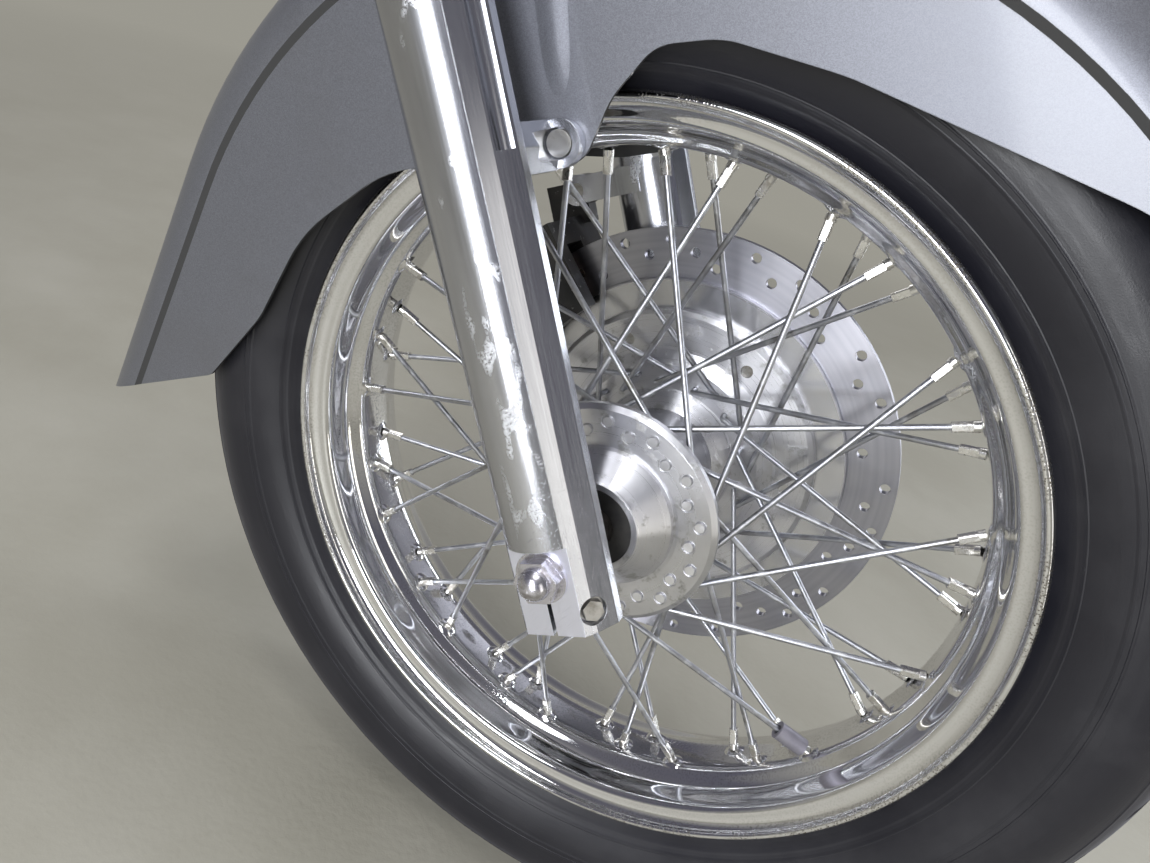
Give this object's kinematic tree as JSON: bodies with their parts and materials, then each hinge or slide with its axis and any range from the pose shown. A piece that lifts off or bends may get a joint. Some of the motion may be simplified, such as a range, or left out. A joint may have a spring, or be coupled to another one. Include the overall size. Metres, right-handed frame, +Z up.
{
  "type": "motorcycle front end",
  "caption": "Wire-spoked front wheel in a telescopic fork with yokes, pressed steel fender, drilled brake disc and caliper; it turns on its axle and clamps on a steering stem.",
  "frame": {"origin": "on the steering axis, at the shoulder that seats the lower steering bearing", "axes": "+X ahead, +Y to the rider's left along the axle, +Z up, as the machine stands; the steering axis leans back 33 degrees from +Z"},
  "size_m": [0.7899, 0.2957, 0.9669],
  "materials": {
    "tyre": "smooth-sided black rubber",
    "chrome": "bright plated steel, lightly pitted",
    "cast_alloy": "polished casting with oxide bloom",
    "zinc_wire": "dull zinc plate",
    "nipple_plate": "bright nickel plate",
    "disc_steel": "ground and drilled stainless steel",
    "fastener": "zinc-plated steel",
    "bearing_steel": "ground steel",
    "rubber": "moulded black rubber",
    "silver_paint": "silver metallic under clear coat",
    "caliper_paint": "satin black",
    "pad_lining": "sintered lining",
    "lead": "dull lead"
  },
  "bodies": {
    "fork": {"slider_right": "cast_alloy", "slider_left": "cast_alloy", "axle": "bearing_steel", "axle_pinch_bolt": "fastener", "axle_collar_right": "fastener", "axle_collar_left": "fastener", "fork_tube_right": "chrome", "fork_tube_left": "chrome", "fork_cap_right": "chrome", "fork_cap_left": "chrome", "dust_seal_right": "rubber", "dust_seal_left": "rubber", "steering_stem": "bearing_steel", "stem_nut": "chrome", "lower_yoke": "cast_alloy", "upper_yoke": "cast_alloy", "yoke_bolts": "fastener", "fender": "silver_paint", "fender_bolts": "fastener", "caliper": "caliper_paint", "brake_pads": "pad_lining", "caliper_bolts": "fastener"},
    "wheel": {"tyre": "tyre", "rim": "chrome", "hub": "cast_alloy", "bearing_right": "bearing_steel", "bearing_left": "bearing_steel", "hub_seal_right": "rubber", "hub_seal_left": "rubber", "spokes_right": "zinc_wire", "spokes_left": "zinc_wire", "nipples_right": "nipple_plate", "nipples_left": "nipple_plate", "valve_stem": "rubber", "brake_disc": "disc_steel", "disc_bolts": "fastener", "balance_weight": "lead"}
  },
  "joints": [
    {"name": "wheel_spin", "type": "hinge", "parent": "fork", "child": "wheel", "pos_m": [0.34693, 0, -0.44242], "axis": [0, 1, 0], "continuous": true}
  ]
}
